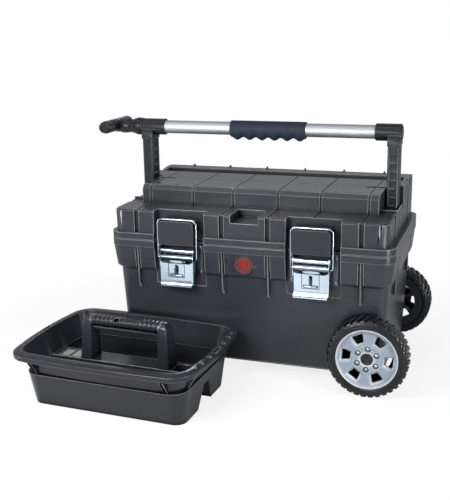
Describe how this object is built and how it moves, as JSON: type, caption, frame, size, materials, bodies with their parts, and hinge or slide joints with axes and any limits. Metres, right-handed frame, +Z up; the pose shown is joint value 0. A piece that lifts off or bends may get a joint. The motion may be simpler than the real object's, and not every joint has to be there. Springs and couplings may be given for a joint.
{
  "type": "rolling tool case",
  "caption": "Rolling plastic tool case with a sliding carry handle, a pull-out tow grip, draw latches, wheels and a loose tote tray.",
  "frame": {"origin": "on the floor, under the middle of the box round the whole set, tray included", "axes": "+X along the case towards its wheels, +Y from the latches to the hinges, +Z up"},
  "size_m": [0.7244, 0.6712, 0.509],
  "materials": {
    "shell_plastic": "fine moulded grain, charcoal black",
    "arm_plastic": "fine moulded grain, charcoal black",
    "tray_plastic": "smooth satin moulding, charcoal black",
    "fitting_plastic": "satin black moulding",
    "rim_plastic": "painted silver grey",
    "rubber": "matt black",
    "tyre": "matt black with moulded tread",
    "grip_rubber": "dark blue-black soft rubber",
    "aluminium_tube": "brushed along the tube",
    "steel": "zinc plated",
    "chrome": "bright nickel plating",
    "badge": "red gloss disc with two plain rings"
  },
  "bodies": {
    "case": {"tub": "shell_plastic", "feet": "shell_plastic", "foot_pads": "rubber", "axle": "steel", "axle_washers": "steel", "badge": "badge", "hinge_pins": "steel", "latch_base_left": "chrome", "latch_base_right": "chrome", "latch_pin_left": "steel", "latch_pin_right": "steel", "latch_rivets": "steel"},
    "lid": {"lid": "shell_plastic", "lid_seal": "rubber", "catch_left": "shell_plastic", "catch_right": "shell_plastic", "catch_screws": "steel", "arm_guides": "fitting_plastic"},
    "handle": {"arm_left": "arm_plastic", "arm_right": "arm_plastic", "collar_left": "fitting_plastic", "collar_right": "fitting_plastic", "crossbar": "aluminium_tube", "grip": "grip_rubber", "end_cap": "fitting_plastic", "collar_screws": "steel", "arm_stops": "fitting_plastic"},
    "lock_collar": {"lock_collar": "fitting_plastic"},
    "tow_handle": {"tow_tube": "aluminium_tube", "tow_stem": "fitting_plastic", "tow_grip": "fitting_plastic", "tow_caps": "fitting_plastic", "tow_bush": "fitting_plastic"},
    "latch_lever_left": {"latch_lever_left": "chrome"},
    "latch_lever_right": {"latch_lever_right": "chrome"},
    "latch_bail_left": {"latch_bail_left": "chrome"},
    "latch_bail_right": {"latch_bail_right": "chrome"},
    "release_button_left": {"release_button_left": "fitting_plastic"},
    "release_button_right": {"release_button_right": "fitting_plastic"},
    "wheel_front": {"front_tyre": "tyre", "front_rim": "rim_plastic", "front_hub_cap": "fitting_plastic", "front_bolts": "steel", "front_bush": "fitting_plastic"},
    "wheel_rear": {"rear_tyre": "tyre", "rear_rim": "rim_plastic", "rear_hub_cap": "fitting_plastic", "rear_bolts": "steel", "rear_bush": "fitting_plastic"},
    "tray": {"tray": "tray_plastic", "tray_handle": "tray_plastic"}
  },
  "joints": [
    {"name": "lid_hinge", "type": "hinge", "parent": "case", "child": "lid", "pos_m": [0.02811, 0.31258, 0.276], "axis": [-1, 0, 0], "range_deg": [0, 105]},
    {"name": "handle_slide", "type": "slide", "parent": "lid", "child": "handle", "axis": [0, 0, 1], "range_m": [-0.08, 0]},
    {"name": "lock_turn", "type": "hinge", "parent": "handle", "child": "lock_collar", "pos_m": [-0.26189, 0.12358, 0.49], "axis": [1, 0, 0], "range_deg": [0, 60]},
    {"name": "tow_slide", "type": "slide", "parent": "handle", "child": "tow_handle", "axis": [-1, 0, 0], "range_m": [0, 0.3]},
    {"name": "latch_left", "type": "hinge", "parent": "case", "child": "latch_lever_left", "pos_m": [-0.11189, -0.05042, 0.26], "axis": [-1, 0, 0], "range_deg": [0, 110]},
    {"name": "bail_left", "type": "hinge", "parent": "latch_lever_left", "child": "latch_bail_left", "pos_m": [-0.11189, -0.05042, 0.245], "axis": [-1, 0, 0], "range_deg": [-132, 0]},
    {"name": "release_left", "type": "slide", "parent": "lid", "child": "release_button_left", "axis": [1, 0, 0], "range_m": [0, 0.006], "stiffness_N_per_m": 500, "springref_m": -0.004},
    {"name": "latch_right", "type": "hinge", "parent": "case", "child": "latch_lever_right", "pos_m": [0.16811, -0.05042, 0.26], "axis": [-1, 0, 0], "range_deg": [0, 110]},
    {"name": "bail_right", "type": "hinge", "parent": "latch_lever_right", "child": "latch_bail_right", "pos_m": [0.16811, -0.05042, 0.245], "axis": [-1, 0, 0], "range_deg": [-132, 0]},
    {"name": "release_right", "type": "slide", "parent": "lid", "child": "release_button_right", "axis": [-1, 0, 0], "range_m": [0, 0.006], "stiffness_N_per_m": 500, "springref_m": -0.004},
    {"name": "front_wheel_spin", "type": "hinge", "parent": "case", "child": "wheel_front", "pos_m": [0.28291, -0.05442, 0.0793], "axis": [0, 1, 0], "continuous": true},
    {"name": "rear_wheel_spin", "type": "hinge", "parent": "case", "child": "wheel_rear", "pos_m": [0.28291, 0.31358, 0.0793], "axis": [0, 1, 0], "continuous": true},
    {"name": "tray_lift", "type": "slide", "parent": "case", "child": "tray", "axis": [0, -0.6, 0.8], "range_m": [0, 0.35]}
  ],
  "couplings": [
    {"joint": "bail_left", "follows": "latch_left", "ratio": -1.2},
    {"joint": "bail_right", "follows": "latch_right", "ratio": -1.2}
  ]
}
